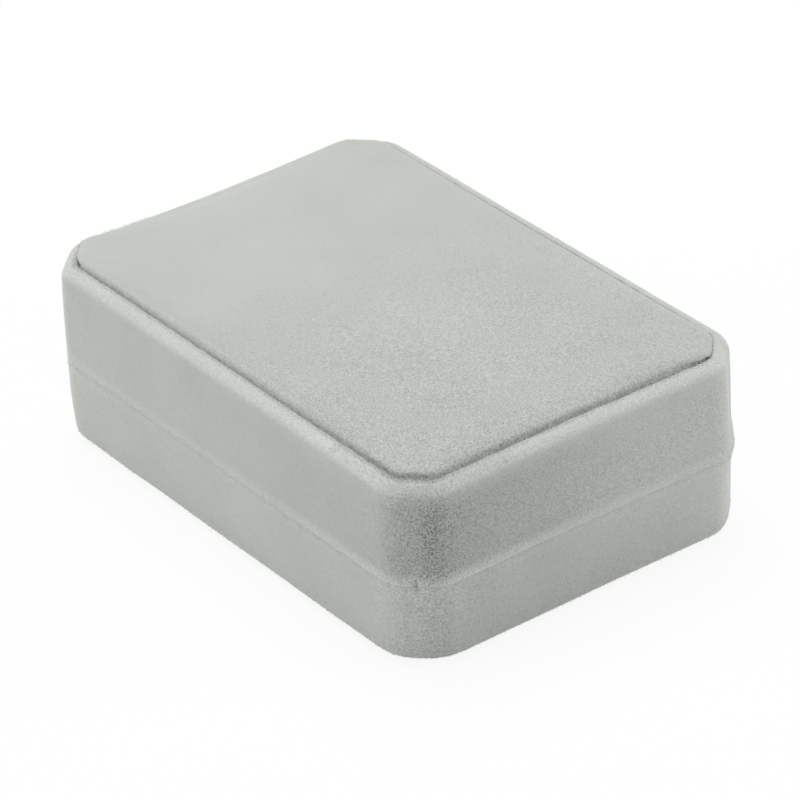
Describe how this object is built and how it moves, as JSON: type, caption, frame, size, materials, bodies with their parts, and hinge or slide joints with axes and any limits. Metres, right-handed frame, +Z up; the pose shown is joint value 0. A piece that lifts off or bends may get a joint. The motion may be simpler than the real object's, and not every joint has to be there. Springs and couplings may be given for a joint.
{
  "type": "necklace box",
  "caption": "Velvet-covered necklace box with cut corners, a padded top, a sprung steel hinge and a lift-out necklace pad with chain slits.",
  "frame": {"origin": "middle of the flat face that the box stands on", "axes": "+X along the box, -Y towards the side that opens, +Y towards the hinge, +Z up"},
  "size_m": [0.13, 0.0905, 0.0431],
  "materials": {
    "velvet": "short dense pile, pale grey-green",
    "satin": "smooth satin, ivory",
    "moulded_plastic": "moulded, matt grey",
    "card": "plain grey board",
    "foam": "open foam sheet",
    "plated_steel": "nickel-plated"
  },
  "bodies": {
    "base": {"base_shell": "moulded_plastic", "base_velvet": "velvet", "base_liner": "satin", "bottom_panel": "card", "pad_riser": "card", "hinge_leaf_base": "plated_steel", "hinge_pin": "plated_steel", "hinge_spring_left": "plated_steel", "hinge_spring_right": "plated_steel", "hinge_cover": "velvet", "base_rivet_left": "plated_steel", "base_rivet_right": "plated_steel"},
    "lid": {"lid_shell": "moulded_plastic", "lid_velvet": "velvet", "lid_top_board": "card", "lid_top_foam": "foam", "lid_top_velvet": "velvet", "lid_liner": "satin", "lid_pad_board": "card", "lid_pad_satin": "satin", "hinge_leaf_lid": "plated_steel", "lid_rivet_left": "plated_steel", "lid_rivet_right": "plated_steel"},
    "pad": {"pad_board": "card", "pad_foam": "foam", "pad_velvet": "velvet"}
  },
  "joints": [
    {"name": "lid_hinge", "type": "hinge", "parent": "base", "child": "lid", "pos_m": [0, 0.044, 0.0186], "axis": [-1, 0, 0], "range_deg": [0, 100], "deforming": ["hinge_spring_left", "hinge_spring_right", "hinge_cover"]},
    {"name": "pad_lift", "type": "slide", "parent": "base", "child": "pad", "axis": [0, 0, 1], "range_m": [0, 0.012]}
  ]
}
